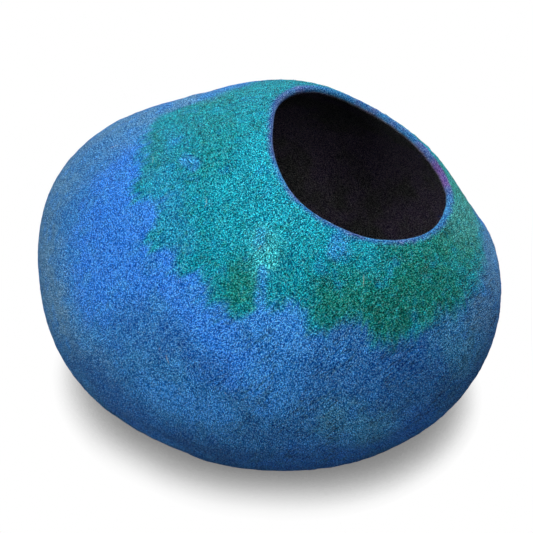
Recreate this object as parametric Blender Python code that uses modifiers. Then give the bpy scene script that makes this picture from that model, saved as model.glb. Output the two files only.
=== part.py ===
"""Felt cat cave: one seamless shell of thick wet-felted wool with one oval opening.

Run with blender --background --python part.py, or from Blender's text editor.
Metres, +Z up. The floor is Z = 0 and the origin is under the middle of the shell.
The opening faces the front, -Y, and leans well up towards the sky.

A direction on the shell is given as (azimuth, elevation) in degrees, seen from the
middle of the round body: azimuth 0 is the front, 90 the right side (+X), 180 the
back, and elevation 90 is straight up.
"""

import math

import bmesh
import bpy
from mathutils import Vector

# ---- the round body, measured from its middle ----
HALF_WIDTH = 0.226
FRONT_REACH = 0.252
BACK_REACH = 0.257
CROWN_HEIGHT = 0.203
KEEL_DEPTH = 0.174  # where the round form would end below, had the floor not flattened it
CROWN_FULLNESS = -0.029  # share by which it is fuller than an ellipse half way up to the crown
KEEL_FULLNESS = 0.033  # the same, half way down to the keel
MIDDLE_HEIGHT = 0.140  # the middle of the body above the floor
FLOOR_TURN = 0.020  # the wall bends flat over this height above the floor

# ---- the felt ----
WALL = 0.008
LIP_ROUNDING = 0.0028
LIP_STEPS = 2
LIP_SHARP_EDGE = 55  # edges bent by more than this many degrees are the lip's, and are rounded

# ---- the opening, an oval about its own axis ----
OPENING_AZIMUTH = 7.0
OPENING_ELEVATION = 60.0
OPENING_HALF_ANGLE = 29.0
OPENING_OVAL = 0.073  # share by which the long half angle is more, and the short one less
OPENING_LEAN = 17.0  # the long way of the oval, turned up from level
RIM_WAVES = (  # waves around the rim, share of the half angle, where the first crest is
    {"waves": 3, "share": 0.012, "crest": 40.0},
    {"waves": 5, "share": 0.006, "crest": 15.0},
)

# ---- hand-shaped unevenness: broad swells (+) and hollows (-) ----
SWELLS = (
    {"place": "hollow of the back shoulder", "azimuth": 152, "elevation": 50, "spread": 20, "rise": -0.009},
    {"place": "full back", "azimuth": -175, "elevation": 22, "spread": 20, "rise": 0.003},
    {"place": "flat left of the back", "azimuth": -150, "elevation": 0, "spread": 18, "rise": -0.007},
    {"place": "swell beside the rim", "azimuth": 88, "elevation": 60, "spread": 18, "rise": 0.004},
    {"place": "hollow front right", "azimuth": 32, "elevation": 19, "spread": 15, "rise": -0.009},
    {"place": "full right side", "azimuth": 100, "elevation": 8, "spread": 22, "rise": 0.004},
    {"place": "hollow right of the back", "azimuth": 138, "elevation": -4, "spread": 16, "rise": -0.005},
    {"place": "sag under the rim", "azimuth": -38, "elevation": 22, "spread": 16, "rise": -0.003},
    {"place": "swell of the left flank", "azimuth": -84, "elevation": 14, "spread": 20, "rise": 0.002},
)

# ---- soft creases left by fulling and folding, from one direction to another ----
CREASES = (
    {"place": "shoulder ridge", "from": (-160, 36), "to": (172, 64), "half_width": 0.018, "rise": 0.0030},
    {"place": "hollow behind it", "from": (-178, 38), "to": (160, 56), "half_width": 0.022, "rise": -0.0030},
    {"place": "left flank ridge", "from": (-143, 26), "to": (-114, 4), "half_width": 0.022, "rise": 0.0020},
    {"place": "low left tuck", "from": (-110, -24), "to": (-92, -30), "half_width": 0.022, "rise": -0.0030},
    {"place": "right side trough", "from": (60, 34), "to": (84, 6), "half_width": 0.024, "rise": -0.0030},
    {"place": "back ridge", "from": (170, -8), "to": (120, 14), "half_width": 0.024, "rise": 0.0025},
)

# ---- mesh ----
STEPS_AROUND = 64  # faces around the opening's axis
STEPS_FULL = 40  # faces from pole to pole of the whole sphere, before it is opened
STEPS_OPENED = 7  # of those, the ones cut away for the opening

FELT_BLUE = (0.040, 0.190, 0.600, 1.0)
FELT_ROUGHNESS = 0.95


def direction(azimuth, elevation):
    """The unit vector of a direction on the shell."""
    a, e = math.radians(azimuth), math.radians(elevation)
    return Vector((math.sin(a) * math.cos(e), -math.cos(a) * math.cos(e), math.sin(e)))


def arc_distance(way, start, end):
    """The angle between a direction and the arc from start to end, in radians."""
    across = start.cross(end).normalized()
    forward = across.cross(start)
    span = start.angle(end)
    off = math.asin(max(-1.0, min(1.0, way.dot(across))))
    along = math.atan2(way.dot(forward), way.dot(start))
    past = max(0.0, -along, along - span)
    return math.hypot(off, past)


def between(low, high, share):
    return low + (high - low) * share


def smooth_body(way):
    """The distance from the middle to the plain round body, before it is made uneven."""
    backwards = (1 + way.y) / 2
    upwards = (1 + way.z) / 2
    level = math.hypot(way.x / HALF_WIDTH, way.y / between(FRONT_REACH, BACK_REACH, backwards))
    upright = way.z / between(KEEL_DEPTH, CROWN_HEIGHT, upwards)
    half_way = math.sin(2 * math.atan2(upright, level)) ** 2
    fullness = between(KEEL_FULLNESS, CROWN_FULLNESS, upwards)
    return (1 + fullness * half_way) / math.hypot(level, upright)


def unevenness(way, radius):
    """How far the swells, hollows and creases move the felt out along a direction."""
    rise = 0.0
    for swell in SWELLS:
        apart = math.degrees(way.angle(direction(swell["azimuth"], swell["elevation"])))
        rise += swell["rise"] * math.exp(-((apart / swell["spread"]) ** 2))
    for crease in CREASES:
        apart = radius * arc_distance(way, direction(*crease["from"]), direction(*crease["to"]))
        rise += crease["rise"] * math.exp(-((apart / crease["half_width"]) ** 2))
    return rise


def settle(height):
    """The height above the floor once the felt's own weight has bent it flat there."""
    share = height / FLOOR_TURN
    if share >= 1:
        return height
    return FLOOR_TURN * max(0.0, share + 1) ** 2 / 4


def outer_point(way):
    """The point of the outer surface in a direction from the middle of the body."""
    radius = smooth_body(way)
    point = way * (radius + unevenness(way, radius))
    return Vector((point.x, point.y, settle(point.z + MIDDLE_HEIGHT)))


def rim_angle(around):
    """The opening's half angle, in radians, at an angle around its axis from its right side."""
    share = 1 + OPENING_OVAL * math.cos(2 * (around - math.radians(OPENING_LEAN)))
    for wave in RIM_WAVES:
        share += wave["share"] * math.cos(wave["waves"] * (around - math.radians(wave["crest"])))
    return math.radians(OPENING_HALF_ANGLE) * share


def opening_frame():
    """The opening's axis, its level right side, and the way up the slope."""
    axis = direction(OPENING_AZIMUTH, OPENING_ELEVATION)
    right = direction(OPENING_AZIMUTH + 90, 0)
    return axis, right, axis.cross(right)


def open_sphere():
    """A unit sphere about the opening's axis, with the cap inside the rim cut away."""
    mesh = bmesh.new()
    bmesh.ops.create_uvsphere(mesh, u_segments=STEPS_AROUND, v_segments=STEPS_FULL, radius=1)
    pole = Vector((0, 0, 1))
    row = math.pi / STEPS_FULL
    cap = [v for v in mesh.verts if v.co.angle(pole) < row * (STEPS_OPENED - 0.5)]
    bmesh.ops.delete(mesh, geom=cap, context="VERTS")
    cut = row * STEPS_OPENED
    axis, right, up_slope = opening_frame()
    for v in mesh.verts:
        around = math.atan2(v.co.y, v.co.x)
        rim = rim_angle(around)
        polar = between(rim, math.pi, (v.co.angle(pole) - cut) / (math.pi - cut))
        side = right * math.cos(around) + up_slope * math.sin(around)
        v.co = axis * math.cos(polar) + side * math.sin(polar)
    return mesh


def centred(points):
    """The shift that puts the middle of the points' box over the origin."""
    middle = [(min(p[k] for p in points) + max(p[k] for p in points)) / 2 for k in (0, 1)]
    return Vector((-middle[0], -middle[1], 0))


def felt_material():
    material = bpy.data.materials.new("blue_wool_felt")
    material.use_nodes = True
    shader = material.node_tree.nodes["Principled BSDF"]
    shader.inputs["Base Color"].default_value = FELT_BLUE
    shader.inputs["Roughness"].default_value = FELT_ROUGHNESS
    shader.inputs["Metallic"].default_value = 0.0
    return material


def felt_shell(collection):
    """The whole cave: the open outer surface, thickened inwards, with a rounded lip."""
    grid = open_sphere()
    for v in grid.verts:
        v.co = outer_point(v.co.normalized())
    shift = centred([v.co for v in grid.verts])
    bmesh.ops.translate(grid, verts=grid.verts, vec=shift)
    bmesh.ops.recalc_face_normals(grid, faces=grid.faces)
    mesh = bpy.data.meshes.new("felt_shell")
    grid.to_mesh(mesh)
    grid.free()
    mesh.shade_smooth()
    mesh.materials.append(felt_material())
    shell = bpy.data.objects.new("felt_shell", mesh)
    collection.objects.link(shell)
    wall = shell.modifiers.new("wall", "SOLIDIFY")
    wall.thickness = WALL
    wall.offset = -1
    wall.use_even_offset = True
    lip = shell.modifiers.new("lip", "BEVEL")
    lip.limit_method = "ANGLE"
    lip.angle_limit = math.radians(LIP_SHARP_EDGE)
    lip.width = LIP_ROUNDING
    lip.segments = LIP_STEPS
    return shell


def main():
    for thing in list(bpy.data.objects):
        bpy.data.objects.remove(thing)
    collection = bpy.data.collections.new("felt_cat_cave")
    bpy.context.scene.collection.children.link(collection)
    felt_shell(collection)


main()
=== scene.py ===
# %% [markdown]
# # A felt cat cave
#
# The real thing is one seamless pod of wool. Carded fleece is laid round a flat template,
# wetted with soapy water and rubbed until it mats into felt. Then a hole is cut, the
# template comes out, and the pod is pushed into its round shape by hand while it shrinks.
# Nothing is sewn. So its looks are in three things: a round body that no machine made, a
# cut edge fulled soft, and wool whose dyed layers have worked through each other.
#
# We build it in that order: the body from a rule, the felt's relief on it, loose hairs
# over it, and last the dye and the light.

import math
from functools import partialmethod

import bpy
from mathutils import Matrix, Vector
from mathutils.bvhtree import BVHTree


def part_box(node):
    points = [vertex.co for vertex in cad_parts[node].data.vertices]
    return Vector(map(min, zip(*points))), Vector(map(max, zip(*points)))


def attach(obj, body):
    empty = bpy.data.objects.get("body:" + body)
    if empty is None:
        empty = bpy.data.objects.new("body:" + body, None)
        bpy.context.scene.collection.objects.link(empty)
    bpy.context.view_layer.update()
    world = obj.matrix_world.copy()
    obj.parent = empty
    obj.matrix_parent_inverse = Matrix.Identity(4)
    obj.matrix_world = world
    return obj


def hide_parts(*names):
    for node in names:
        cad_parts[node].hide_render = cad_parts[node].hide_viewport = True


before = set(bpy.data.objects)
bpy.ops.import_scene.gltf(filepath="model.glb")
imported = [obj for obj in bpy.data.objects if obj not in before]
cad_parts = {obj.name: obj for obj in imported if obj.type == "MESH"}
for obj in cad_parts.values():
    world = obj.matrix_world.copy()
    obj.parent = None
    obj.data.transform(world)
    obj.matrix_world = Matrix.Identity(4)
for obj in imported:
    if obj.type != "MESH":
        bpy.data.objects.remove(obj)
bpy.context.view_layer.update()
shell_low, shell_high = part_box("felt_shell")
print("the pod's box, mm:", [round(1000 * (b - a)) for a, b in zip(shell_low, shell_high)])

# %% [markdown]
# ## The sizes that drive everything
#
# All lengths are metres. A place on the pod is a direction seen from the middle of its
# body: azimuth 0 is the front, 90 the right side, 180 the back, and elevation 90 is
# straight up. The opening is an oval about an axis that points up and forward.

# %% Sizes of the body, the wall and the opening
BODY = {
    "Half Width": 0.226,
    "Front Reach": 0.252,
    "Back Reach": 0.257,
    "Crown Height": 0.203,
    "Keel Depth": 0.174,
    "Crown Fullness": -0.029,
    "Keel Fullness": 0.033,
    "Middle Height": 0.140,
    "Floor Turn": 0.020,
}
WALL = 0.008

OPENING_AZIMUTH = 7.0
OPENING_ELEVATION = 60.0
OPENING_HALF_ANGLE = 29.0
OPENING_OVAL = 0.073
OPENING_LEAN = 17.0
RIM_WAVES = ((3, 0.012, 40.0), (5, 0.006, 15.0), (9, 0.003, 8.0))  # waves, share, first crest
print("the wall, mm:", 1000 * WALL)

# %% [markdown]
# A hand-made pod is never a clean ellipsoid. Broad swells and hollows are bell-shaped
# pushes about a direction, and soft creases are the same thing about an arc. Both are
# short tables, because a maker would point at them one by one.

# %% Swells and creases
SWELLS = (  # what it is, azimuth, elevation, spread in degrees, rise
    ("hollow of the back shoulder", 152, 50, 20, -0.0075),
    ("full back", -175, 22, 20, 0.003),
    ("flat left of the back", -150, 0, 18, -0.007),
    ("swell beside the rim", 88, 60, 18, 0.004),
    ("hollow front right", 32, 19, 15, -0.009),
    ("full right side", 100, 8, 22, 0.004),
    ("hollow right of the back", 138, -4, 16, -0.005),
    ("sag under the rim", -38, 22, 16, -0.003),
    ("swell of the left flank", -84, 14, 20, 0.002),
    ("swell low in the front right hollow", 25, 14, 9, 0.0036),
)
CREASES = (  # what it is, from and to as (azimuth, elevation), half width, rise
    ("shoulder ridge", (-160, 36), (172, 64), 0.014, 0.0028),
    ("hollow behind it", (-178, 38), (160, 56), 0.022, -0.0022),
    ("left flank ridge", (-143, 26), (-114, 4), 0.017, 0.0022),
    ("low left tuck", (-110, -24), (-92, -30), 0.018, -0.0032),
    ("turn to the base", (-104, -11), (-30, -9), 0.016, 0.0014),
    ("right side trough", (60, 34), (84, 6), 0.020, -0.0032),
    ("back ridge", (170, -8), (120, 14), 0.020, 0.0026),
    ("second back ridge", (-168, 8), (170, 30), 0.013, 0.0018),
)


def direction(azimuth, elevation):
    """The unit vector of a direction on the pod."""
    a, e = math.radians(azimuth), math.radians(elevation)
    return Vector((math.sin(a) * math.cos(e), -math.cos(a) * math.cos(e), math.sin(e)))


print("swells:", len(SWELLS), "creases:", len(CREASES))

# %% [markdown]
# ## A bench for wiring nodes
#
# Geometry and shader trees use the same maths nodes, and a formula wired by hand soon
# can't be read. So a value on its way between two nodes gets a class of its own. Python's
# signs work on it, and each sign adds the node that it stands for: `a * b + c` is two
# maths nodes. `to` adds any other maths node, such as `x.to("SQRT")`. Where one of the
# values is a vector, the node is a vector maths node.


# %% Values between nodes
def is_vector(value):
    if isinstance(value, Flow):
        return value.socket.type in ("VECTOR", "RGBA")
    return isinstance(value, (tuple, Vector))


class Flow:
    """A value on its way between two nodes."""

    def __init__(self, bench, socket):
        self.bench, self.socket = bench, socket

    def to(self, operation, *others):
        return self.bench.maths(operation, self, *others)

    def after(self, operation, other):
        return self.bench.maths(operation, other, self)

    def ramp(self, low, high, start=0.0, end=1.0, curve="LINEAR"):
        """start where the value is low, end where it is high, and a ramp between them."""
        inputs = {"Value": self, "From Min": low, "From Max": high, "To Min": start, "To Max": end}
        return self.bench.value("ShaderNodeMapRange", inputs, interpolation_type=curve)

    def step(self, low, high):
        """0 at low, 1 at high, and a soft step between them."""
        return self.ramp(low, high, curve="SMOOTHSTEP")

    __add__ = partialmethod(to, "ADD")
    __sub__ = partialmethod(to, "SUBTRACT")
    __mul__ = partialmethod(to, "MULTIPLY")
    __truediv__ = partialmethod(to, "DIVIDE")
    __pow__ = partialmethod(to, "POWER")
    __abs__ = partialmethod(to, "ABSOLUTE")
    __rsub__ = partialmethod(after, "SUBTRACT")
    __rtruediv__ = partialmethod(after, "DIVIDE")


def total(values):
    result, *rest = values
    for value in rest:
        result = result + value
    return result


print("what a value can do:", [name for name in vars(Flow) if name.islower() and name[0] != "_"])


# %% The node bench
class Bench:
    """Adds nodes to one tree and wires them."""

    PER_ROW = 16

    def __init__(self, tree):
        self.tree, self.placed = tree, 0

    def wire(self, value, socket):
        if isinstance(value, Flow):
            self.tree.links.new(value.socket, socket)
        else:
            socket.default_value = value

    def node(self, kind, inputs=(), **settings):
        node = self.tree.nodes.new(kind)
        for name, value in settings.items():
            setattr(node, name, value)
        pairs = inputs.items() if isinstance(inputs, dict) else enumerate(inputs)
        for key, value in pairs:
            self.wire(value, node.inputs[key])
        row, column = divmod(self.placed, self.PER_ROW)
        node.location = (200 * column, -320 * row)
        self.placed += 1
        return node

    def value(self, kind, inputs=(), output=0, **settings):
        return Flow(self, self.node(kind, inputs, **settings).outputs[output])

    def values(self, kind, inputs=(), **settings):
        return [Flow(self, socket) for socket in self.node(kind, inputs, **settings).outputs]

    def maths(self, operation, *values):
        wide = [is_vector(value) for value in values]
        if not any(wide):
            return self.value("ShaderNodeMath", values, operation=operation)
        inputs = dict(enumerate(values))
        if operation == "MULTIPLY" and not wide[1]:
            operation, inputs = "SCALE", {0: values[0], "Scale": values[1]}
        output = 1 if operation in ("DOT_PRODUCT", "DISTANCE") else 0
        return self.value("ShaderNodeVectorMath", inputs, output, operation=operation)

    def join(self, *parts):
        return self.value("ShaderNodeCombineXYZ", parts)

    def split(self, vector):
        return self.values("ShaderNodeSeparateXYZ", [vector])

    def between(self, share, low, high):
        return self.value("ShaderNodeMix", {0: share, 2: low, 3: high})

    def painted(self, under, over, share):
        """One colour laid over another. The node's sockets 6 and 7 are its two colours."""
        inputs = {0: share, 6: under, 7: over}
        return self.value("ShaderNodeMix", inputs, 2, data_type="RGBA")

    def noise(self, place, scale, detail=2.0):
        """Even noise from 0 to 1, of about 1 / scale metres from crest to crest."""
        return self.value("ShaderNodeTexNoise", {"Vector": place, "Scale": scale, "Detail": detail})

    def group(self, tree, inputs):
        return self.values(tree.bl_idname.replace("Tree", "Group"), inputs, node_tree=tree)

    def give(self, **results):
        """Wires a tree's results to its output node, and hands over the finished tree."""
        outputs = self.node("NodeGroupOutput").inputs
        for name, value in results.items():
            self.wire(value, outputs[name])
        return self.tree


GEOMETRY, SHADER = "GeometryNodeTree", "ShaderNodeTree"


def new_tree(name, kind, takes, gives):
    """The bench of a new tree, and its inputs by name. Takes and gives are form: names."""
    tree = bpy.data.node_groups.new(name, kind)
    for in_out, forms in (("INPUT", takes), ("OUTPUT", gives)):
        for form, labels in forms.items():
            for label in labels:
                tree.interface.new_socket(label, in_out=in_out, socket_type="NodeSocket" + form)
    bench = Bench(tree)
    return bench, {flow.socket.name: flow for flow in bench.values("NodeGroupInput")}


print("what the bench can do:", [name for name in vars(Bench) if name.islower() and name[0] != "_"])

# %% [markdown]
# ## The body as a rule
#
# How could a round, slightly squashed pod be made? A sculpted cage with subdivision would
# do, but every change would mean pushing points again. A rule is better: along each
# direction from the middle it says how far away the felt is. An ellipsoid does most of
# the work. `Fullness` swells or slims it half way up, the swells and creases are added,
# and a soft clamp lets the felt settle flat where it stands.


# %% One swell and one crease, as small node groups
def bell(distance, width):
    """1 where the distance is 0, and gone at about twice the width."""
    return ((distance / width) ** 2 * -1).to("EXPONENT")


def swell_tree():
    takes = {"Vector": ["Way", "Toward"], "Float": ["Spread", "Rise"]}
    bench, given = new_tree("swell", GEOMETRY, takes, {"Float": ["Rise"]})
    alike = given["Way"].to("DOT_PRODUCT", given["Toward"])
    apart = alike.to("MINIMUM", 1.0).to("ARCCOSINE")
    return bench.give(Rise=bell(apart, given["Spread"]) * given["Rise"])


def crease_tree():
    takes = {"Vector": ["Way", "Start", "End"], "Float": ["Radius", "Half Width", "Rise"]}
    bench, given = new_tree("crease", GEOMETRY, takes, {"Float": ["Rise"]})
    way, start, end, *_ = given.values()
    across = start.to("CROSS_PRODUCT", end).to("NORMALIZE")
    span = start.to("DOT_PRODUCT", end).to("ARCCOSINE")
    off = way.to("DOT_PRODUCT", across).to("ARCSINE")
    ahead = way.to("DOT_PRODUCT", across.to("CROSS_PRODUCT", start))
    along = ahead.to("ARCTAN2", way.to("DOT_PRODUCT", start))
    past = (along * -1).to("MAXIMUM", along - span).to("MAXIMUM", 0.0)
    apart = (off**2 + past**2).to("SQRT") * given["Radius"]
    return bench.give(Rise=bell(apart, given["Half Width"]) * given["Rise"])


swell = swell_tree()
crease = crease_tree()
print("groups:", swell.name, crease.name)


# %% The whole rule: a direction in, a point of the outer surface out
def body_radius(bench, given, x, y, z):
    """How far the plain round body reaches along the direction x, y, z."""
    backwards, upwards = y * 0.5 + 0.5, z * 0.5 + 0.5
    reach = bench.between(backwards, given["Front Reach"], given["Back Reach"])
    height = bench.between(upwards, given["Keel Depth"], given["Crown Height"])
    fullness = bench.between(upwards, given["Keel Fullness"], given["Crown Fullness"])
    level = ((x / given["Half Width"]) ** 2 + (y / reach) ** 2).to("SQRT")
    upright = z / height
    squares = level**2 + upright**2
    half_way = (level * upright * 2 / squares) ** 2
    return (fullness * half_way + 1) / squares.to("SQRT")


def settled(bench, height, turn):
    """A height above the floor, once the felt's own weight has bent it flat there."""
    share = (height / turn + 1).to("MAXIMUM", 0.0)
    bent = share * share * (turn * 0.25)
    return bench.between(height.to("GREATER_THAN", turn), bent, height)


def pod_rule_tree():
    gives = {"Vector": ["Point"], "Float": ["Radius"]}
    bench, given = new_tree("pod_rule", GEOMETRY, {"Vector": ["Way"], "Float": BODY}, gives)
    way = given["Way"]
    radius = body_radius(bench, given, *bench.split(way))
    pushes = [radius]
    for _, azimuth, elevation, spread, rise in SWELLS:
        inputs = {"Toward": direction(azimuth, elevation), "Spread": math.radians(spread)}
        pushes += bench.group(swell, {"Way": way, "Rise": rise, **inputs})
    for _, start, end, half_width, rise in CREASES:
        inputs = {"Start": direction(*start), "End": direction(*end), "Half Width": half_width}
        pushes += bench.group(crease, {"Way": way, "Radius": radius, "Rise": rise, **inputs})
    x, y, z = bench.split(way * total(pushes))
    height = settled(bench, z + given["Middle Height"], given["Floor Turn"])
    return bench.give(Point=bench.join(x, y, height), Radius=radius)


pod_rule = pod_rule_tree()
print("the pod's rule has", len(pod_rule.nodes), "nodes")

# %% [markdown]
# ## The felt's relief
#
# Fulled felt is lumpy in three sizes. The largest are low pillows a hand wide. Then come
# short wrinkles, because the wool was rubbed round and round one axis as it shrank. Last
# are pebbles of a few millimetres. Each is noise. For the wrinkles, the place where the
# noise is read is first turned back round that axis by most of its own angle. Going round
# then changes the noise slowly, so every blob of it comes out as a streak.

# %% Relief sizes
RELIEF = {
    "Pillow Size": 0.055,
    "Pillow Depth": 0.0016,
    "Wrinkle Size": 0.0085,
    "Wrinkle Depth": 0.0021,
    "Pebble Size": 0.0075,
    "Pebble Depth": 0.0012,
}
RUBBED_ROUND = direction(166, 35)  # the axis that the wool was rubbed round
WRINKLE_PULL = 0.24  # how much slower the noise changes going round it
SEAM_FROM, SEAM_TO = 2.3, 3.0  # radians from the top, between which the wrinkles die out
WRINKLED_TOWARD = direction(-12, 8)  # where the wrinkles are deepest
WRINKLES_BEHIND = (-0.2, 0.9, 0.35, 1.0)  # facing that way, from and to, and the depth there


def wound(place, axis, pull):
    """Place turned back round axis, and its own angle round it, which is 0 at the top."""
    top = (Vector((0, 0, 1)) - axis * axis.z).normalized()
    ahead = place.to("DOT_PRODUCT", axis.cross(top))
    angle = ahead.to("ARCTAN2", place.to("DOT_PRODUCT", top))
    inputs = {"Vector": place, "Axis": axis, "Angle": angle * (pull - 1)}
    return place.bench.value("ShaderNodeVectorRotate", inputs), angle


def relief_tree():
    takes = {"Vector": ["Point", "Way"], "Float": RELIEF}
    bench, given = new_tree("felt_relief", GEOMETRY, takes, {"Float": ["Rise"]})
    point = given["Point"]

    def layer(name, place, detail):
        swing = bench.noise(place, 1.0 / given[name + " Size"], detail) - 0.5
        return swing * given[name + " Depth"]

    turned, angle = wound(point - (0, 0, BODY["Middle Height"]), RUBBED_ROUND, WRINKLE_PULL)
    wrinkles = layer("Wrinkle", turned, 2.0) * abs(angle).ramp(SEAM_TO, SEAM_FROM)
    facing = given["Way"].to("DOT_PRODUCT", WRINKLED_TOWARD)
    wrinkles = wrinkles * facing.ramp(*WRINKLES_BEHIND)
    rises = [layer("Pillow", point, 1.0), wrinkles, layer("Pebble", point, 2.0)]
    return bench.give(Rise=total(rises))


felt_relief = relief_tree()
print("relief layers:", [name for name in RELIEF if "Depth" in name])

# %% [markdown]
# ## The felt wall
#
# The wall needs an outside, an inside and a rounded edge between them, all in one skin.
# Solidify would give both sides the same number of faces, which wastes half of them
# inside the pod. So we lay rings round the opening's axis: from the pole under the base,
# up the outside to the rim, over the lip, and down the inside to the pole again. A ring
# halves its steps where it gets short, so that the faces stay about one size. The skin is
# closed but for one face: 15 steps halve to 7 at the outer pole, and the odd step leaves a
# triangle open, 2 to 3 mm a side, in the flat of the base.
#
# At first each point is only a direction, with two notes: how deep in the wall it lies
# (0 outside, 1 inside), and its angle from the rim. The node tree turns them into felt.

# %% Ring counts
FINE_STEPS = 480  # round the rim and the belly, outside
OUTER_ROWS = 196
SHORTEST_STEP = 0.0017  # an outer ring with shorter steps than this gets half as many
OUTER_HALVED_FROM, INNER_HALVED_FROM = 0.5, 0.8  # shares of the way from rim to pole
LIP_ROWS = 8
INNER_STEPS = 120
INNER_ROWS = 46
INNER_CROWDING = 1.15  # above 1, the inner rings crowd towards the rim
ROWS_INSIDE_LIP = 4  # the inner rings down to this one still have half the fine steps
SHORTEST_INNER, FEWEST_STEPS = 0.012, 15  # for inner rings, roughly in radians, and their fewest
USUAL_REACH = 0.22  # a usual distance from the middle, to turn angles into lengths

OPENING_AXIS = direction(OPENING_AZIMUTH, OPENING_ELEVATION)
LEVEL_RIGHT = direction(OPENING_AZIMUTH + 90, 0)
UP_SLOPE = OPENING_AXIS.cross(LEVEL_RIGHT)


def between(low, high, share):
    return low + (high - low) * share


def rim_angle(around):
    """The opening's half angle at an angle round its axis, from the axis's right side."""
    share = 1 + OPENING_OVAL * math.cos(2 * (around - math.radians(OPENING_LEAN)))
    for waves, height, crest in RIM_WAVES:
        share += height * math.cos(waves * (around - math.radians(crest)))
    return math.radians(OPENING_HALF_ANGLE) * share


def off_axis(around, polar):
    """The direction at an angle round the opening's axis and an angle away from it."""
    side = LEVEL_RIGHT * math.cos(around) + UP_SLOPE * math.sin(around)
    return OPENING_AXIS * math.cos(polar) + side * math.sin(polar)


def ring_plan():
    """Each ring from pole to pole: steps, share of the way from rim to pole, and depth."""
    plan = []
    opening = math.radians(OPENING_HALF_ANGLE)
    for row in range(OUTER_ROWS - 1, 0, -1):
        share = row / OUTER_ROWS
        length = math.tau * USUAL_REACH * math.sin(between(opening, math.pi, share))
        steps = FINE_STEPS
        while share > OUTER_HALVED_FROM and length / steps < SHORTEST_STEP:
            steps //= 2
        plan.append((steps, share, 0.0))
    lip = WALL / 2 / USUAL_REACH / (math.pi - opening)
    for row in range(LIP_ROWS + 1):
        turn = math.pi * row / LIP_ROWS
        plan.append((FINE_STEPS, lip * (0.5 - math.sin(turn)), (1 - math.cos(turn)) / 2))
    for row in range(1, INNER_ROWS):
        steps = FINE_STEPS // 2 if row < ROWS_INSIDE_LIP else INNER_STEPS
        share = (row / INNER_ROWS) ** INNER_CROWDING
        length = (1 - share) * math.tau
        far = share > INNER_HALVED_FROM
        while far and steps > FEWEST_STEPS and length / steps < SHORTEST_INNER:
            steps //= 2
        plan.append((steps, share, 1.0))
    return plan


def stitch(first, second):
    """The faces between two rings of point numbers, one of which may have twice the steps."""
    if len(first) == len(second):
        return zip(first, (*first[1:], first[0]), (*second[1:], second[0]), second)
    flip = len(first) < len(second)
    fine, coarse = (second, first) if flip else (first, second)
    faces = []
    for k in range(len(coarse)):
        a, b, c = fine[2 * k], fine[2 * k + 1], fine[(2 * k + 2) % len(fine)]
        d, e = coarse[k], coarse[(k + 1) % len(coarse)]
        for face in ((a, b, d), (b, c, e), (b, e, d)):
            faces.append(face[::-1] if flip else face)
    return faces


print("rings from pole to pole:", len(ring_plan()))


# %% The rings as a mesh of directions
def ring_mesh():
    pole_angle = math.pi - rim_angle(0)
    rows, faces = [(-OPENING_AXIS, 0.0, pole_angle, (1, 0, 0))], []
    before = None
    for steps, share, depth in ring_plan():
        ring = range(len(rows), len(rows) + steps)
        for k in range(steps):
            around = math.tau * k / steps
            rim = rim_angle(around)
            polar = between(rim, math.pi, share)
            compass = (math.cos(around), math.sin(around), 0)
            rows.append((off_axis(around, polar), depth, polar - rim, compass))
        if before is None:
            faces += [(0, ring[(k + 1) % steps], ring[k]) for k in range(steps)]
        else:
            faces += stitch(ring, before)
        before = ring
    faces += [(len(rows), before[k], before[(k + 1) % steps]) for k in range(steps)]
    rows.append((-OPENING_AXIS, 1.0, pole_angle, (1, 0, 0)))
    points, depths, angles, compass = zip(*rows)
    mesh = bpy.data.meshes.new("felt_wall")
    mesh.from_pydata(points, [], faces)
    for name, values in (("depth", depths), ("rim_angle", angles)):
        mesh.attributes.new(name, "FLOAT", "POINT").data.foreach_set("value", values)
    flat = [number for place in compass for number in place]
    mesh.attributes.new("compass", "FLOAT_VECTOR", "POINT").data.foreach_set("vector", flat)
    return mesh


def show(obj):
    bpy.context.scene.collection.objects.link(obj)
    return obj


felt_wall = show(bpy.data.objects.new("felt_wall", ring_mesh()))
print("directions:", len(felt_wall.data.vertices), "faces:", len(felt_wall.data.polygons))

# %% [markdown]
# The tree reads the rule three times: at the direction itself and a hair's breadth to two
# sides of it. The two small steps span the surface, so their cross product is its normal,
# and the wall grows inwards along it. Relief dies out near the floor, where the pod's own
# weight presses the felt flat.

# %% From directions to felt
NUDGE = 0.004  # radians between the three readings of the rule
RELIEF_FROM, RELIEF_FULL = 0.002, 0.022  # heights between which the relief grows in
STEEP = 0.9  # above this share of straight up, east is found from X and not from Z


def named(bench, name, form="FLOAT"):
    return bench.value("GeometryNodeInputNamedAttribute", {"Name": name}, data_type=form)


def stored(geometry, name, value, form="FLOAT"):
    inputs = {"Geometry": geometry, "Name": name, "Value": value}
    kind = "GeometryNodeStoreNamedAttribute"
    return geometry.bench.value(kind, inputs, data_type=form, domain="POINT")


def made_real(geometry, material):
    """The end of a tree: real faces with their material."""
    real = geometry.bench.value("GeometryNodeRealizeInstances", [geometry])
    inputs = {"Geometry": real, "Material": material}
    return geometry.bench.value("GeometryNodeSetMaterial", inputs)


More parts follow.
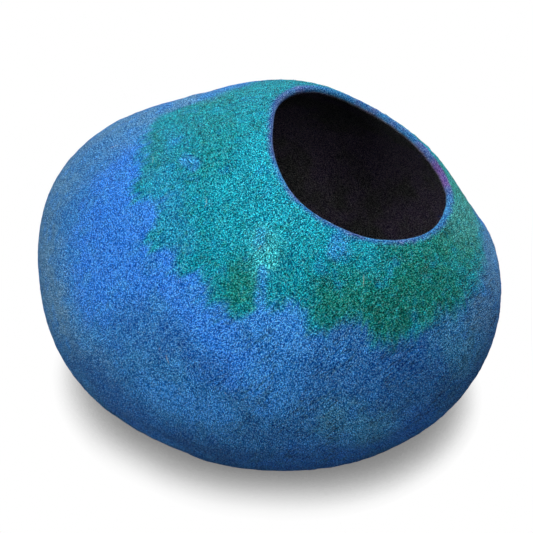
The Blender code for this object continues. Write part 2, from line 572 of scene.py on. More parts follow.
def pod_tree():
    takes = {"Geometry": ["Rings"], "Float": ["Wall", *BODY, *RELIEF], "Material": ["Felt"]}
    bench, given = new_tree("felt_pod", GEOMETRY, takes, {"Geometry": ["Felt"]})
    sizes = {name: given[name] for name in BODY}
    way = bench.value("GeometryNodeInputPosition").to("NORMALIZE")
    point, radius = bench.group(pod_rule, {"Way": way, **sizes})

    upright = abs(bench.split(way)[2]).to("GREATER_THAN", STEEP)
    east = bench.join(upright, 0.0, 1.0 - upright).to("CROSS_PRODUCT", way).to("NORMALIZE")
    steps = []
    for side in (east, way.to("CROSS_PRODUCT", east)):
        aside = (way + side * NUDGE).to("NORMALIZE")
        steps.append(bench.group(pod_rule, {"Way": aside, **sizes})[0] - point)
    normal = steps[0].to("CROSS_PRODUCT", steps[1]).to("NORMALIZE")

    reliefs = {name: given[name] for name in RELIEF}
    relief = bench.group(felt_relief, {"Point": point, "Way": way, **reliefs})[0]
    relief = relief * bench.split(point)[2].ramp(RELIEF_FROM, RELIEF_FULL)
    outwards = relief - named(bench, "depth") * given["Wall"]
    x, y, z = bench.split(point + normal * outwards)
    place = bench.join(x, y, z.to("MAXIMUM", 0.0))

    felt = stored(given["Rings"], "from_rim", named(bench, "rim_angle") * radius)
    felt = bench.value("GeometryNodeSetPosition", {"Geometry": felt, "Position": place})
    felt = bench.value("GeometryNodeSetShadeSmooth", [felt])
    return bench.give(Felt=made_real(felt, given["Felt"]))


def grown(obj, tree, values):
    """Runs a node tree on an object and keeps the result as its plain mesh."""
    modifier = obj.modifiers.new(tree.name, "NODES")
    modifier.node_group = tree
    for item in tree.interface.items_tree:
        if item.item_type == "SOCKET" and item.in_out == "INPUT" and item.name in values:
            modifier[item.identifier] = values[item.name]
    graph = bpy.context.evaluated_depsgraph_get()
    mesh = bpy.data.meshes.new_from_object(
        obj.evaluated_get(graph), preserve_all_data_layers=True, depsgraph=graph
    )
    obj.modifiers.remove(modifier)
    mesh.name = obj.name
    obj.data = mesh
    return mesh


def triangles(mesh):
    mesh.calc_loop_triangles()
    return len(mesh.loop_triangles)


felt_pod = pod_tree()
wall_felt = bpy.data.materials.new("dyed_wool_felt")
wall_mesh = grown(felt_wall, felt_pod, {"Wall": WALL, "Felt": wall_felt, **BODY, **RELIEF})
print("felt wall:", triangles(wall_mesh), "triangles")

# %% [markdown]
# The rule works from the middle of the body, but the frame's origin is under the middle
# of the pod's box. One shift of the mesh puts the felt where the frame has it.


# %% Into the frame
def box_of(mesh):
    corners = [v.co for v in mesh.vertices]
    return [(min(c[k] for c in corners), max(c[k] for c in corners)) for k in range(3)]


def into_frame(mesh):
    shift = Vector((0, 0, 0))
    for k, (low, high) in enumerate(box_of(mesh)[:2]):
        shift[k] = (shell_low[k] + shell_high[k]) / 2 - (low + high) / 2
    for v in mesh.vertices:
        v.co += shift
    return shift


pod_shift = into_frame(wall_mesh)
pod_middle = pod_shift + Vector((0, 0, BODY["Middle Height"]))
print("shifted by, mm:", [round(1000 * s, 1) for s in pod_shift])
print("felt box, m:", [[round(e, 4) for e in pair] for pair in box_of(wall_mesh)])

# %% [markdown]
# ## Wool
#
# The colours follow the laying of the fleece. Blue went all over. A collar of teal and
# green was laid round where the opening would be, its tufts pointing away from it, so its
# outer edge is ragged. The lip shows the layers in section, and the inside was violet.
#
# What is the same for every piece of wool is the grain: short fibres lying mostly one way,
# each a light streak beside a dark gap. That is a group of its own, with its size as an
# input. Noise is wound round two axes, as the wrinkles were, and mixed with a crumb that
# runs no way. A coarser noise gives the nap, the small lumps the fibres are gathered in,
# and the lines where a noise crosses its middle are short furrows.

# %% Grain shared by all the wool
STRAND_AXES = (direction(171, 32), direction(161, 38))
STRAND_PULL = 0.36
COMBED, UNCOMBED = 0.20, 0.22  # share of the grain that runs no way, at the front and the back
COMBED_FROM, COMBED_FULL = -0.1, 0.9  # facing the wrinkled side, as a cosine
FLECK_FROM, FLECK_FULL = 0.34, 0.66  # noise that is a dark gap, and noise that is a light fibre
HUE_ASIDE, HUE_SCALE = (0.31, 0.17, 0.23), 0.6  # the hue has its own noise, a little coarser
NAP_SIZE, NAP_PULL = 0.0042, 0.55  # the width of the small lumps
FURROWS_APART, FURROW_PULL, FURROW_WIDTH = 0.0052, 0.20, 0.055
FOLDED_SCALE, FOLDED_FROM, FOLDED_FULL = 36.0, 0.42, 0.60  # the patches that have furrows


def wool_grain_tree():
    takes = {"Vector": ["Place"], "Float": ["Strand Width"]}
    gives = {"Float": ["Fleck", "Hue", "Nap", "Furrow"]}
    bench, given = new_tree("wool_grain", SHADER, takes, gives)
    place, scale = given["Place"], 1.0 / given["Strand Width"]
    from_middle = place - tuple(pod_middle)
    facing = from_middle.to("NORMALIZE").to("DOT_PRODUCT", WRINKLED_TOWARD)
    combed = facing.step(COMBED_FROM, COMBED_FULL)

    def streaks(axis, pull, streak_scale, detail):
        return bench.noise(wound(from_middle, axis, pull)[0], streak_scale, detail)

    strands = total(streaks(axis, STRAND_PULL, scale, 1.0) for axis in STRAND_AXES)
    strands = strands * (1 / len(STRAND_AXES))
    crumb = bench.noise(place, scale, 1.0)
    mixed = (crumb - strands) * bench.between(combed, UNCOMBED, COMBED) + strands
    folds = streaks(RUBBED_ROUND, FURROW_PULL, 1 / FURROWS_APART, 3.0)
    folded = bench.noise(place, FOLDED_SCALE).step(FOLDED_FROM, FOLDED_FULL) * combed
    return bench.give(
        Fleck=mixed.ramp(FLECK_FROM, FLECK_FULL),
        Hue=bench.noise(place + HUE_ASIDE, scale * HUE_SCALE),
        Nap=streaks(RUBBED_ROUND, NAP_PULL, 1 / NAP_SIZE, 2.0),
        Furrow=abs(folds - 0.5).step(FURROW_WIDTH, 0.0) * folded,
    )


wool_grain = wool_grain_tree()
print("strand directions in the grain:", len(STRAND_AXES))

# %% [markdown]
# The dye is a second group. It knows where a point is, how far it is from the rim, and on
# which side of the opening it lies, as the cosine and sine of the angle round it. Noise
# read at those last is drawn out along the tufts, which gives the collar its fingers.
#
# The collar's edge is a curve through a few places round the opening, roughened by noise.
# Single tufts that the eye picks out are a table: each runs between two places on the pod,
# given as (angle round the opening, metres from the rim). Not every row is wool alone: the
# steel and haze rows are partly painted sheen along the outline, and the lowest deep row is
# painted shade where the felt turns under.

# %% Dyed wools, as linear light
WOOLS = {
    "blue": (0.038, 0.188, 0.475, 1),
    "blue in collar": (0.010, 0.188, 0.475, 1),
    "bright": (0.050, 0.250, 0.680, 1),
    "royal": (0.035, 0.196, 0.675, 1),
    "deep": (0.024, 0.128, 0.395, 1),
    # steel: partly a paler wool, partly painted sheen along the pod's outline
    "steel and painted sheen": (0.085, 0.215, 0.420, 1),
    "sky": (0.062, 0.262, 0.540, 1),
    # haze: partly a paler wool, partly painted sheen along the pod's outline
    "haze and painted sheen": (0.104, 0.250, 0.480, 1),
    "teal": (0.000, 0.256, 0.372, 1),
    "deep teal": (0.004, 0.185, 0.250, 1),
    "cyan": (0.008, 0.335, 0.490, 1),
    "pale": (0.070, 0.510, 0.630, 1),
    "green": (0.005, 0.166, 0.134, 1),
    "jade": (0.040, 0.290, 0.240, 1),
    "violet": (0.055, 0.093, 0.267, 1),
    "plum": (0.140, 0.060, 0.260, 1),
    "lip blue": (0.034, 0.178, 0.420, 1),
    "lip violet": (0.078, 0.128, 0.345, 1),
    "inside grey": (0.075, 0.078, 0.088, 1),
    "inside violet": (0.110, 0.090, 0.150, 1),
}
print("wools:", len(WOOLS))

# %% Tufts
COLLAR_TUFTS = (  # the wool, from and to, half width, share of it that shows
    ("deep teal", (50, 0.030), (84, 0.040), 0.040, 0.55),
    ("bright", (112, 0.120), (148, 0.124), 0.020, 0.28),
    ("green", (-156, 0.062), (-124, 0.056), 0.030, 0.85),
    ("green", (-142, 0.078), (-136, 0.086), 0.014, 0.60),
    ("green", (-134, 0.014), (-96, 0.016), 0.026, 0.80),
    ("green", (172, 0.078), (174, 0.104), 0.015, 0.80),
    ("green", (118, 0.128), (108, 0.130), 0.012, 0.50),
    ("green", (88, 0.060), (98, 0.096), 0.014, 0.35),
    ("jade", (-90, 0.012), (-52, 0.048), 0.032, 0.85),
    ("green", (112, 0.050), (130, 0.064), 0.022, 0.32),
    ("green", (-114, 0.006), (-99, 0.034), 0.014, 0.45),
    ("deep teal", (108, 0.078), (122, 0.098), 0.022, 0.45),
    ("cyan", (140, 0.010), (172, 0.014), 0.026, 0.85),
    ("cyan", (160, 0.036), (170, 0.062), 0.016, 0.80),
    ("cyan", (140, 0.060), (158, 0.084), 0.014, 0.55),
    ("cyan", (-158, 0.012), (-147, 0.022), 0.012, 0.50),
    ("pale", (170, 0.054), (175, 0.070), 0.012, 0.75),
    ("bright", (-166, 0.004), (-165, 0.022), 0.009, 0.65),
    ("bright", (176, 0.076), (-179, 0.100), 0.005, 0.75),
    ("bright", (167, 0.050), (169, 0.058), 0.005, 0.40),
    ("bright", (128, 0.084), (124, 0.090), 0.007, 0.60),
    ("bright", (113, 0.098), (114, 0.104), 0.006, 0.40),
    # the two haze rows are partly painted sheen where the felt turns away at the outline
    ("haze and painted sheen", (-92, 0.010), (-80, 0.030), 0.024, 0.22),
    ("haze and painted sheen", (84, 0.084), (76, 0.090), 0.016, 0.50),
)
BASE_TUFTS = (
    ("royal", (124, 0.155), (142, 0.200), 0.048, 0.95),
    ("royal", (158, 0.135), (-178, 0.160), 0.026, 0.90),
    ("royal", (-148, 0.220), (-126, 0.190), 0.020, 0.50),
    ("bright", (-179, 0.104), (-166, 0.102), 0.019, 0.95),
    ("bright", (171, 0.118), (166, 0.132), 0.013, 0.60),
    ("bright", (-169, 0.158), (-164, 0.172), 0.014, 0.70),
    ("bright", (174, 0.240), (-173, 0.216), 0.018, 0.90),
    ("deep", (158, 0.205), (166, 0.184), 0.018, 0.50),
    ("deep", (169, 0.172), (-179, 0.174), 0.012, 0.60),
    ("deep", (-155, 0.124), (-130, 0.146), 0.034, 0.55),
    ("deep", (-136, 0.096), (-122, 0.102), 0.022, 0.85),
    ("deep", (-160, 0.215), (-148, 0.205), 0.018, 0.35),
    # the haze and steel rows on the left flank: partly a paler wool, partly painted sheen along the
    # outline
    ("haze and painted sheen", (97, 0.272), (134, 0.297), 0.036, 0.95),
    ("haze and painted sheen", (140, 0.285), (160, 0.272), 0.018, 0.45),
    ("haze and painted sheen", (100, 0.170), (106, 0.230), 0.028, 0.35),
    ("steel and painted sheen", (84, 0.130), (86, 0.220), 0.032, 0.95),
    ("sky", (-118, 0.094), (-112, 0.114), 0.020, 0.90),
    # this haze row is partly painted sheen at the right outline
    ("haze and painted sheen", (-108, 0.082), (-100, 0.096), 0.014, 0.50),
    ("sky", (-146, 0.168), (-134, 0.180), 0.020, 0.85),
    ("royal", (172, 0.310), (-136, 0.245), 0.030, 0.80),
    ("royal", (-124, 0.176), (-116, 0.200), 0.022, 0.60),
    # this steel row is partly painted sheen at the right outline
    ("steel and painted sheen", (-93, 0.062), (-72, 0.088), 0.026, 0.65),
    # painted shade: this deep row darkens the felt low down, where it turns under towards the floor
    ("deep", (160, 0.292), (-166, 0.278), 0.026, 0.80),
    ("bright", (-172, 0.112), (-164, 0.156), 0.022, 0.45),
)
LIP_TUFTS = (
    ("violet", (76, -0.002), (134, 0.000), 0.016, 0.85),
    ("violet", (-74, -0.006), (-46, -0.006), 0.016, 0.60),
    ("plum", (-63, -0.006), (-52, -0.006), 0.010, 0.80),
    ("lip blue", (-112, -0.006), (-86, -0.006), 0.014, 0.90),
)
print("tufts:", len(COLLAR_TUFTS) + len(BASE_TUFTS) + len(LIP_TUFTS))

# %% [markdown]
# Between the tufts, the layers show through each other in blots. A blot is a noise read
# through a soft step: where the noise passes from the first number to the second, the wool
# comes in, up to the share given. Blots of several sizes over each other look like felt.

# %% Blots and the collar's edge
NOISES = {  # crests to the metre, detail
    "broad": (15.0, 2.0),
    "middling": (60.0, 3.0),
    "small": (170.0, 2.0),
    "lip patches": (30.0, 2.0),
    "inside patches": (18.0, 3.0),
}
BLOTS = {  # under and over the tufts: the noise, from and to, share, the wool
    "under base": (("broad", 0.65, 0.35, 0.40, "deep"),),
    "over base": (("middling", 0.45, 0.75, 0.45, "bright"),),
    "under collar": (
        ("wisps", 0.50, 0.75, 0.45, "green"),
        ("from rim", 0.100, 0.010, 0.35, "cyan"),
    ),
    "over collar": (
        ("middling", 0.56, 0.72, 0.40, "blue in collar"),
        ("small", 0.52, 0.72, 0.50, "cyan"),
        ("small", 0.46, 0.28, 0.50, "green"),
        ("hue", 0.52, 0.72, 0.35, "green"),
        ("hue", 0.48, 0.28, 0.35, "blue in collar"),
    ),
    "lip": (("lip patches", 0.46, 0.66, 1.0, "lip violet"),),
    "inside": (("inside patches", 0.40, 0.62, 1.0, "inside violet"),),
}
COLLAR_EDGE = (  # degrees round the opening, and how far the collar reaches from the rim there
    (-180, 0.110), (-176, 0.094), (-169, 0.087), (-162, 0.102), (-152, 0.078), (-145, 0.100),
    (-134, 0.092), (-124, 0.080), (-108, 0.074), (-90, 0.062), (-70, 0.050), (-40, 0.060),
    (0, 0.048), (30, 0.066), (60, 0.052), (78, 0.062), (90, 0.090), (98, 0.130),
    (118, 0.135), (130, 0.145), (135, 0.114), (146, 0.147), (152, 0.122), (157, 0.133),
    (162, 0.116), (171, 0.128), (180, 0.110),
)  # fmt: skip
FARTHEST_EDGE = 0.160
WISPS, WISPS_STRETCH = 22.0, 26.0  # crests to the radian round the opening, and to the metre
FINGERS, FINGERS_STRETCH, FINGERS_REACH = 38.0, 22.0, 0.030
EDGE_LUMPS, EDGE_SPECKS = 0.030, 0.024  # how far noise pushes the edge about
FRAY = 0.011
SOFT_SIDE, SOFT_FROM, SOFT_FULL = -100, 0.60, 0.98  # where the collar is thin and fades
SOFT_SIDE_FRAY = 0.014
TUFT_FRAY, TUFT_GONE, TUFT_FULL = 2.4, 1.75, 0.35  # in half widths of the tuft
LIP_BAND, LIP_WAVER, LIP_FADE = 0.0032, 0.008, 0.003
INSIDE_FROM, INSIDE_FULL = 0.55, 0.95  # shares of the wall's depth


def place_on_pod(around, from_rim):
    """The direction of a place given as degrees round the opening and metres from the rim."""
    turn = math.radians(around)
    return off_axis(turn, rim_angle(turn) + from_rim / USUAL_REACH)


print("places on the collar's edge:", len(COLLAR_EDGE))


# %% The dye as a node group
def tuft_tree():
    """How much of a tuft's wool shows: 1 along an arc, 0 well away from it, frayed between."""
    takes = {"Vector": ["Way", "Start", "End"], "Float": ["Fray", "Half Width", "Share"]}
    bench, given = new_tree("tuft", SHADER, takes, {"Float": ["Share"]})
    way, start, end, *_ = given.values()
    along = end - start
    share = (way - start).to("DOT_PRODUCT", along) / along.to("DOT_PRODUCT", along)
    nearest = start + along * share.to("MAXIMUM", 0.0).to("MINIMUM", 1.0)
    apart = way.to("DISTANCE", nearest) / given["Half Width"] + given["Fray"]
    return bench.give(Share=apart.step(TUFT_GONE, TUFT_FULL) * given["Share"])


def collar_curve(around):
    """How far the collar reaches, as a share of the farthest, at an angle round the opening."""
    node = around.bench.node("ShaderNodeFloatCurve", {"Value": around * (1 / math.tau) + 0.5})
    curve = node.mapping.curves[0]
    places = [((angle + 180) / 360, reach / FARTHEST_EDGE) for angle, reach in COLLAR_EDGE]
    curve.points[0].location, curve.points[1].location = places[0], places[-1]
    for x, y in places[1:-1]:
        curve.points.new(x, y)
    node.mapping.update()
    return Flow(around.bench, node.outputs[0])


def dye_tree():
    takes = {"Vector": ["Place", "Compass"], "Float": ["From Rim", "Depth", "Hue"]}
    bench, given = new_tree("dyed_layers", SHADER, takes, {"Color": ["Colour"]})
    place, compass, from_rim, depth, hue, *_ = given.values()

    def tufted(count, stretch):
        """Noise with about count crests to the radian round the opening, drawn out along it."""
        return bench.noise(compass * count + bench.join(0.0, 0.0, from_rim * stretch), 1.0, 3.0)

    noises = {name: bench.noise(place, *row) for name, row in NOISES.items()}
    noises.update({"wisps": tufted(WISPS, WISPS_STRETCH), "from rim": from_rim, "hue": hue})
    lumps = noises["middling"] - 0.5
    way = (place - tuple(pod_middle)).to("NORMALIZE")
    shared = {"Way": way, "Fray": lumps * TUFT_FRAY}

    def blotted(colour, blots):
        for name, low, high, share, wool in BLOTS[blots]:
            colour = bench.painted(colour, WOOLS[wool], noises[name].step(low, high) * share)
        return colour

    def laid(colour, tufts):
        for wool, start, end, half_width, share in tufts:
            ends = {"Start": place_on_pod(*start), "End": place_on_pod(*end)}
            sizes = {"Half Width": half_width / USUAL_REACH, "Share": share}
            share = bench.group(tuft, {**shared, **ends, **sizes})[0]
            colour = bench.painted(colour, WOOLS[wool], share)
        return colour

    x, y, _ = bench.split(compass)
    edge = collar_curve(y.to("ARCTAN2", x)) * FARTHEST_EDGE + lumps * EDGE_LUMPS
    edge = edge + (tufted(FINGERS, FINGERS_STRETCH) - 0.5) * FINGERS_REACH
    within = edge - from_rim + (hue - 0.5) * EDGE_SPECKS
    soft_way = (math.cos(math.radians(SOFT_SIDE)), math.sin(math.radians(SOFT_SIDE)), 0)
    soft = compass.to("DOT_PRODUCT", soft_way).step(SOFT_FROM, SOFT_FULL)
    collar = (within / bench.between(soft, FRAY, SOFT_SIDE_FRAY)).step(-1.0, 1.0)

    blue = blotted(laid(blotted(WOOLS["blue"], "under base"), BASE_TUFTS), "over base")
    teal = blotted(laid(blotted(WOOLS["teal"], "under collar"), COLLAR_TUFTS), "over collar")
    lip = laid(blotted(WOOLS["lip blue"], "lip"), LIP_TUFTS)
    inside = blotted(WOOLS["inside grey"], "inside")

    colour = bench.painted(blue, teal, collar)
    at_lip = (noises["small"] - 0.5) * LIP_WAVER + from_rim
    colour = bench.painted(colour, lip, at_lip.step(LIP_BAND + LIP_FADE, LIP_BAND - LIP_FADE))
    return bench.give(Colour=bench.painted(colour, inside, depth.step(INSIDE_FROM, INSIDE_FULL)))


tuft = tuft_tree()
dyed_layers = dye_tree()
print("the dye group has", len(dyed_layers.nodes), "nodes")

# %% [markdown]
# The material puts the two together. The grain darkens the gaps and lightens the fibres,
# and drives the bump. It works in powers of e, because light and shade in a deep pile
# multiply. Light that gets between the fibres is dyed again each time it meets one, so a
# channel that the dye holds back swings more than one that it lets through. `RED_PULL` and
# `BLUE_PULL` say how much more, or how much less.
#
# Wool scatters light in its own fuzz, so a soft sheen lifts the edges. It is the same all
# over, so it is set on the shader itself.

# %% The felt material
GRAIN_WIDTH, GRAIN_SWING = 0.00050, 7.6  # and how far gaps and fibres are apart, in powers of e
HAIR_WIDTH, HAIR_SWING = 0.0016, 1.2  # the same for loose hairs
NAP_SWING = 0.1  # the same for the small lumps
LIGHTEST = 1.9  # no fibre is lighter than this power of e
GRAIN_LIFT = (1.68, 1.59, 1.36)  # the mean tone of red, green and blue
RED_PULL = (0.20, 1.0, 2.2, 1.0)  # red against green, from and to, and the pulls there
BLUE_PULL = (0.35, 1.0, 0.5, 1.0)  # the same for green against blue
MEAN_BEND, MEAN_SHIFT, MEAN_REST = -0.245, -0.876, 0.279  # keep the mean, whatever the pull
PALE_FIBRE, PALE_SHARE = (0.62, 0.70, 0.74, 1), 0.60
PALE_FLECKS, PALE_HUES = (0.55, 0.85), (0.48, 0.66)  # where single fibres took less dye
ROUGHNESS, ROUGHNESS_SWING = 0.98, -0.10
GRAIN_BUMP = 0.0007
NAP_BUMP = 0.0005
# painted shade: the furrows' floors are darkened in the colour, as well as dipped in the bump
FURROW_SHADE = 0.55  # how much darker the bottom of a furrow is
FUZZ = {
    "Specular IOR Level": 0.05,
    "Sheen Weight": 0.12,
    "Sheen Roughness": 0.15,
    "Sheen Tint": (0.75, 0.86, 1.0, 1.0),
}


def grain_tone(power, pull, lift):
    """A channel's tone. The fitted curve keeps its mean at lift, whatever the pull."""
    centre = pull * MEAN_BEND + MEAN_SHIFT
    return ((power + centre) * pull + MEAN_REST).to("EXPONENT") * lift


def wool_material(material, width, swing, bumps):
    material.use_nodes = True
    bench = Bench(material.node_tree)
    shader = material.node_tree.nodes["Principled BSDF"]
    place = bench.value("ShaderNodeTexCoord", output="Object")

    def attribute(name, output):
        return bench.value("ShaderNodeAttribute", output=output, attribute_name=name)

    inputs = {"Place": place, "Strand Width": width}
    fleck, hue, nap, furrow = bench.group(wool_grain, inputs)
    notes = {"Compass": attribute("compass", "Vector"), "From Rim": attribute("from_rim", "Fac")}
    inputs = {"Place": place, "Depth": attribute("depth", "Fac"), "Hue": hue, **notes}
    colour = bench.group(dyed_layers, inputs)[0]
    power = ((fleck - 0.5) * swing + (nap - 0.5) * NAP_SWING).to("MINIMUM", LIGHTEST)
    red, green, blue = bench.split(colour)
    pulls = ((red / green).ramp(*RED_PULL), 1.0, (green / blue).ramp(*BLUE_PULL))
    tone = bench.join(*(grain_tone(power, pull, lift) for pull, lift in zip(pulls, GRAIN_LIFT)))
    # the furrows get their painted shade here
    colour = colour * tone * (furrow * -FURROW_SHADE + 1.0)
    pale = fleck.step(*PALE_FLECKS) * hue.step(*PALE_HUES) * PALE_SHARE
    bench.wire(bench.painted(colour, PALE_FIBRE, pale), shader.inputs["Base Color"])
    bench.wire(fleck * ROUGHNESS_SWING + ROUGHNESS, shader.inputs["Roughness"])
    fine, coarse = bumps
    height = fleck * fine + nap * coarse + furrow * -coarse
    bump = bench.value("ShaderNodeBump", {"Height": height, "Distance": 1.0, "Strength": 1.0})
    bench.wire(bump, shader.inputs["Normal"])
    for name, value in FUZZ.items():
        shader.inputs[name].default_value = value


wool_material(wall_felt, GRAIN_WIDTH, GRAIN_SWING, (GRAIN_BUMP, NAP_BUMP))
print("material:", wall_felt.name)

# %% [markdown]
# ## Loose hairs
#
# Felt is never quite closed: ends of wool stand out of it, mostly lying down where hands
# rubbed them. At a glance nobody sees them, but without them the outline looks cut from
# card. Thousands of small repeated things are work for Geometry Nodes. One tree lays
# fibres on points: each is a thin three-sided spindle, laid along the rubbed way with some
# scatter. Once the copies are real, noise bends them and their tips are lifted.
#
# The points bring the wall's own notes with them, so a hair takes the dye of its place.

# %% The tree that lays fibres on points
HAIR = {"Length": 0.0095, "Thickness": 0.00016, "Lift": 0.0030, "Bend": 0.0016, "Scatter": 0.7}
HAIR_SPANS = 4  # straight stretches along one fibre
HAIR_SUNK = 0.00015  # how deep its root is in the wall
HAIR_BLUNT = 1.15  # 1 would end it in a point
HAIR_LENGTHS = (0.5, 1.5)  # shares of the length
FLAT_LIFT, STEEP_POWER = 0.10, 5.0  # the lift that all have, and how rare the steep ones are
LIFT_CURVE = 1.5  # above 1, the lift comes late along the fibre
SWIRL = {"Scale": 160.0, "Detail": 1.0}
LOWEST_TIP = 0.001  # above the floor


def random_number(low, high, seed):
    """A number by chance. The node's inputs 2 and 3 and its output 1 are the plain numbers."""
    return seed.bench.value("FunctionNodeRandomValue", {2: low, 3: high, "Seed": seed}, 1)


def spindle(bench, thickness):
    """One straight fibre, 1 long, from the origin along X, thin at both ends."""
    line = bench.value("GeometryNodeCurvePrimitiveLine", {"Start": (0, 0, 0), "End": (1, 0, 0)})
    line = bench.value("GeometryNodeResampleCurve", {"Curve": line, "Count": HAIR_SPANS + 1})
    along = bench.value("GeometryNodeSplineParameter", output="Factor")
    line = stored(line, "along", along)
    radius = (HAIR_BLUNT - abs(along * 2.0 - 1.0) ** 3.0) * 0.5
    round_it = {"Resolution": 3, "Radius": thickness}
    ring = bench.value("GeometryNodeCurvePrimitiveCircle", round_it, mode="RADIUS")
    inputs = {"Curve": line, "Profile Curve": ring, "Scale": radius, "Fill Caps": True}
    return bench.value("GeometryNodeCurveToMesh", inputs)


def fibres_tree():
    takes = {"Geometry": ["Points"], "Int": ["Seed"], "Material": ["Wool"], "Float": HAIR}
    bench, given = new_tree("laid_fibres", GEOMETRY, takes, {"Geometry": ["Fibres"]})
    up, seed = named(bench, "up", "FLOAT_VECTOR"), given["Seed"]
    way = up.after("CROSS_PRODUCT", RUBBED_ROUND).to("NORMALIZE")
    turned = {"Vector": way, "Axis": up}
    turned["Angle"] = given["Scatter"] * random_number(-1.0, 1.0, seed)
    way = bench.value("ShaderNodeVectorRotate", turned)
    axes = {"primary_axis": "Z", "secondary_axis": "X"}
    steep = random_number(0.0, 1.0, seed + 2.0) ** STEEP_POWER
    parts = {
        "Points": stored(given["Points"], "lift", steep),
        "Instance": spindle(bench, given["Thickness"]),
        "Scale": bench.join(given["Length"] * random_number(*HAIR_LENGTHS, seed + 1.0), 1.0, 1.0),
        "Rotation": bench.value("FunctionNodeAxesToRotation", [up, way], **axes),
    }
    laid = bench.value("GeometryNodeInstanceOnPoints", parts)
    fibres = bench.value("GeometryNodeRealizeInstances", [laid])

    along = named(bench, "along")
    rise = (named(bench, "lift") + FLAT_LIFT) * given["Lift"] * along**LIFT_CURVE - HAIR_SUNK
    place = bench.value("GeometryNodeInputPosition")
    swirl = bench.value("ShaderNodeTexNoise", {"Vector": place, **SWIRL}, output="Color")
    swirl = swirl - (0.5, 0.5, 0.5)
    swirl = (swirl - up * swirl.to("DOT_PRODUCT", up)) * given["Bend"] * (along * 2.0)
    x, y, z = bench.split(place + (up * rise + swirl))
    place = bench.join(x, y, z.to("MAXIMUM", LOWEST_TIP))
    fibres = bench.value("GeometryNodeSetPosition", {"Geometry": fibres, "Position": place})
    return bench.give(Fibres=made_real(fibres, given["Wool"]))


laid_fibres = fibres_tree()
print("the fibre tree has", len(laid_fibres.nodes), "nodes")

# %% [markdown]
# For the nap, points are strewn over the outside of the wall, with a fixed seed. The face
# under a point gives its normal. The base and the inside stay bald: nobody sees one, and
# the other is in the dark.

# %% Hairs strewn over the wall
HAIRS_PER_SQUARE_METRE = 13000
HAIRS_FROM, HAIRS_FULL = 0.012, 0.030  # heights between which the hairs grow in
HAIRS_DEPTH = 0.3  # they stop at this share of the wall's depth, over the lip


def nap_tree():
    takes = {"Geometry": ["Wall"], "Int": ["Seed"], "Material": ["Wool"]}
    takes["Float"] = ["Per Area", *HAIR]
    bench, given = new_tree("nap_of_hairs", GEOMETRY, takes, {"Geometry": ["Hairs"]})
    height = bench.split(bench.value("GeometryNodeInputPosition"))[2]
    outside = named(bench, "depth").to("LESS_THAN", HAIRS_DEPTH)
    density = height.ramp(HAIRS_FROM, HAIRS_FULL) * outside * given["Per Area"]
    inputs = {"Mesh": given["Wall"], "Density": density, "Seed": given["Seed"]}
    points, up, _ = bench.values("GeometryNodeDistributePointsOnFaces", inputs)
    passed_on = {name: given[name] for name in ("Seed", "Wool", *HAIR)}
    points = stored(points, "up", up, "FLOAT_VECTOR")
    hairs = bench.group(laid_fibres, {"Points": points, **passed_on})[0]
    return bench.give(Hairs=made_real(hairs, given["Wool"]))


nap_of_hairs = nap_tree()
hair_wool = bpy.data.materials.new("dyed_wool_hairs")
wool_material(hair_wool, HAIR_WIDTH, HAIR_SWING, (0.0, 0.0))
nap_hairs = show(bpy.data.objects.new("nap_hairs", wall_mesh.copy()))
inputs = {"Per Area": HAIRS_PER_SQUARE_METRE, "Seed": 5, "Wool": hair_wool, **HAIR}
hair_mesh = grown(nap_hairs, nap_of_hairs, inputs)
print("nap hairs:", triangles(hair_mesh), "triangles")

# %% [markdown]
# A few undyed fibres got into the fleece. They are pale, lie any way they like, and each
# has its own place, given like a tuft's. A ray cast at the wall from outside finds it, and
# the same fibre tree lays them.

# %% Undyed fibres
UNDYED_PLACES = (
    (146, 0.084), (132, 0.049), (172, 0.200), (168, 0.196), (120, 0.128),
    (-174, 0.187), (172, 0.056), (170, 0.064), (-152, 0.046), (104, 0.176),
)  # fmt: skip
UNDYED = {**HAIR, "Thickness": 0.00026, "Bend": 0.0040, "Scatter": 3.0}
UNDYED_STRAW, UNDYED_ROUGHNESS = (0.720, 0.700, 0.560, 1), 0.8


def points_on_wall(places):
    """A mesh of loose points where the places are on the wall, each noting which way is up."""
    corners = [v.co for v in wall_mesh.vertices]
    wall = BVHTree.FromPolygons(corners, [f.vertices for f in wall_mesh.polygons])
    ways = [place_on_pod(*place) for place in places]
    hits = [wall.ray_cast(pod_middle + way, -way) for way in ways]
    mesh = bpy.data.meshes.new("places_on_wall")
    mesh.from_pydata([hit[0] for hit in hits], [], [])
    up = mesh.attributes.new("up", "FLOAT_VECTOR", "POINT")
    for k, hit in enumerate(hits):
        up.data[k].vector = hit[1]
    return mesh


undyed_wool = bpy.data.materials.new("undyed_wool")
undyed_wool.use_nodes = True
shader = undyed_wool.node_tree.nodes["Principled BSDF"]
shader.inputs["Base Color"].default_value = UNDYED_STRAW
shader.inputs["Roughness"].default_value = UNDYED_ROUGHNESS
stray_fibres = show(bpy.data.objects.new("stray_fibres", points_on_wall(UNDYED_PLACES)))
stray_mesh = grown(stray_fibres, laid_fibres, {"Seed": 3, "Wool": undyed_wool, **UNDYED})
print("undyed fibres:", triangles(stray_mesh), "triangles")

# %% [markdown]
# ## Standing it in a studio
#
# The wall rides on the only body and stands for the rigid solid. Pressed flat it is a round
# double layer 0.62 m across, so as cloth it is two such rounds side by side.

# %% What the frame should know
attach(felt_wall, "root")
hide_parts("felt_shell")
for hairs in (nap_hairs, stray_fibres):
    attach(hairs, "root")
print("the felt wall and its hairs ride on root")

# %% [markdown]
# The floor works like a photographer's light table: it glows white by itself. Only close
# under the pod, where the wall overhangs it, is the glow held back: a painted shadow, kept
# compact. An Ambient Occlusion node tells how much of the sky above a point is free within
# a hand's breadth. Two of them look to different sides, and the one that sees less sky
# counts, so the painted shadow is darkest right under the pod. To the pod itself the floor is a
# dim grey, so the belly stays dark.

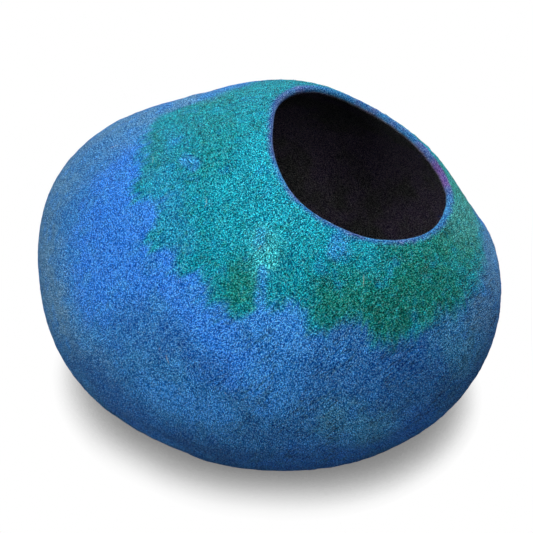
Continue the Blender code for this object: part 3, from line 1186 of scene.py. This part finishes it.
# %% Floor
FLOOR_HALF = 30.0
SHADOW_REACH, SHADOW_SAMPLES = 0.050, 8
SHADOW_LEANS = ((-20, 66), (-135, 58))  # azimuth and elevation of the two looks at the sky
DARKEST_GLOW = 0.20
FLOOR_TO_POD = (0.20, 0.20, 0.20, 1)


def light_table_material():
    material = bpy.data.materials.new("pale_light_table")
    material.use_nodes = True
    nodes = material.node_tree.nodes
    bench = Bench(material.node_tree)
    nodes.remove(nodes["Principled BSDF"])
    free = []
    for lean in SHADOW_LEANS:
        inputs = {"Distance": SHADOW_REACH, "Normal": bench.join(*direction(*lean))}
        free.append(bench.value("ShaderNodeAmbientOcclusion", inputs, "AO", samples=SHADOW_SAMPLES))
    # the painted shadow: the floor's glow held back under the pod
    glow = bench.maths("MINIMUM", *free).step(DARKEST_GLOW, 1.0)
    glow = glow * (1 - DARKEST_GLOW) + DARKEST_GLOW
    seen = bench.value("ShaderNodeEmission", {"Strength": glow})
    dim = bench.value("ShaderNodeBsdfDiffuse", {"Color": FLOOR_TO_POD})
    camera_ray = bench.value("ShaderNodeLightPath", output="Is Camera Ray")
    both = bench.value("ShaderNodeMixShader", [camera_ray, dim, seen])
    bench.wire(both, nodes["Material Output"].inputs["Surface"])
    return material


floor_mesh = bpy.data.meshes.new("floor")
corners = [(x * FLOOR_HALF, y * FLOOR_HALF, 0) for x, y in ((-1, -1), (1, -1), (1, 1), (-1, 1))]
floor_mesh.from_pydata(corners, [], [(0, 1, 2, 3)])
floor_mesh.materials.append(light_table_material())
floor = show(bpy.data.objects.new("floor", floor_mesh))
print("floor:", 2 * FLOOR_HALF, "m wide")

# %% Camera
CAMERA_AZIMUTH, CAMERA_ELEVATION, CAMERA_DISTANCE = -63.0, 35.0, 1.35
CAMERA_RIGHT, CAMERA_UP = 0.001, 0.006  # how far the aim is off the pod's middle
CAMERA_LENS, CAMERA_SENSOR = 85, 36  # millimetres


def turned_along(obj, back, up):
    """Turns a camera or light so that its back is along a direction."""
    obj.rotation_mode = "QUATERNION"
    obj.rotation_quaternion = back.to_track_quat("Z", up)


camera_data = bpy.data.cameras.new("camera")
camera_data.lens, camera_data.sensor_width = CAMERA_LENS, CAMERA_SENSOR
camera = show(bpy.data.objects.new("camera", camera_data))
back = direction(CAMERA_AZIMUTH, CAMERA_ELEVATION)
right = direction(CAMERA_AZIMUTH + 90, 0)
aim = pod_middle + right * CAMERA_RIGHT + back.cross(right) * CAMERA_UP
camera.location = aim + back * CAMERA_DISTANCE
turned_along(camera, back, "Y")
bpy.context.scene.camera = camera
print("camera at", [round(c, 2) for c in camera.location])

# %% Lights
LIGHTS = (  # name, azimuth, elevation, width, watts
    ("key", -120, 45, 1.6, 22.6),
    ("front", -45, 45, 1.6, 9.3),
    ("right", 85, 38, 1.6, 39.9),
    ("top", -63, 80, 1.8, 20.3),
)
LIGHTS_AWAY = 2.2
for name, azimuth, elevation, width, watts in LIGHTS:
    data = bpy.data.lights.new(name, "AREA")
    data.shape, data.size, data.energy = "DISK", width, watts
    light = show(bpy.data.objects.new(name, data))
    away = direction(azimuth, elevation)
    light.location = pod_middle + away * LIGHTS_AWAY
    turned_along(light, away, "Y")
print("lights:", [row[0] for row in LIGHTS])

# %% Sky
SKY_STRENGTH = 0.07
world = bpy.data.worlds.new("studio")
bpy.context.scene.world = world
world.use_nodes = True
background = world.node_tree.nodes["Background"]
background.inputs["Color"].default_value = (1, 1, 1, 1)
background.inputs["Strength"].default_value = SKY_STRENGTH
bpy.context.scene.view_settings.view_transform = "Standard"
print("sky strength:", SKY_STRENGTH)
